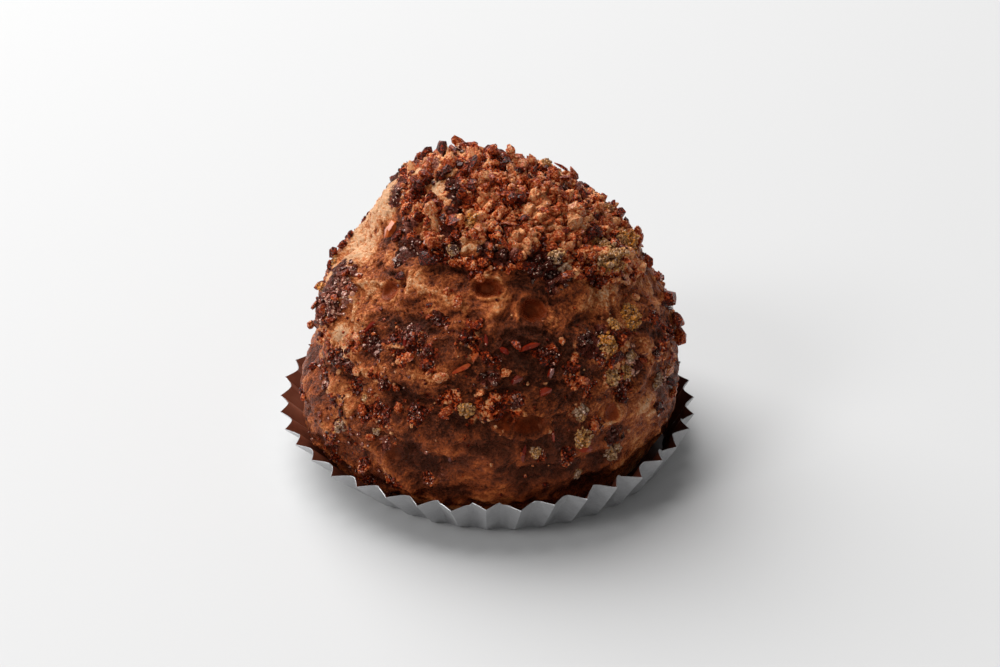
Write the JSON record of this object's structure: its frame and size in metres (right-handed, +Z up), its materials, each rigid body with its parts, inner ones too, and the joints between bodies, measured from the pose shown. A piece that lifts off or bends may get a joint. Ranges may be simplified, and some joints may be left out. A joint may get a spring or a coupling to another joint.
{
  "type": "cream puff",
  "caption": "Domed choux cream puff crusted with chopped nuts and caramelised sugar, sitting in a shallow pleated paper case.",
  "frame": {"origin": "middle of the paper case's underside", "axes": "+Z up through the crown of the puff, -Y towards the front that the picture shows, +X to its right"},
  "size_m": [0.0835, 0.0839, 0.064],
  "materials": {
    "baked_crust": "matte",
    "case_paper": "satin",
    "toasted_nuts": "satin",
    "burnt_crumbs": "satin",
    "caramel": "gloss",
    "sugar_lumps": "satin"
  },
  "bodies": {
    "root": {"paper_case": "case_paper", "puff": "baked_crust"}
  },
  "joints": []
}
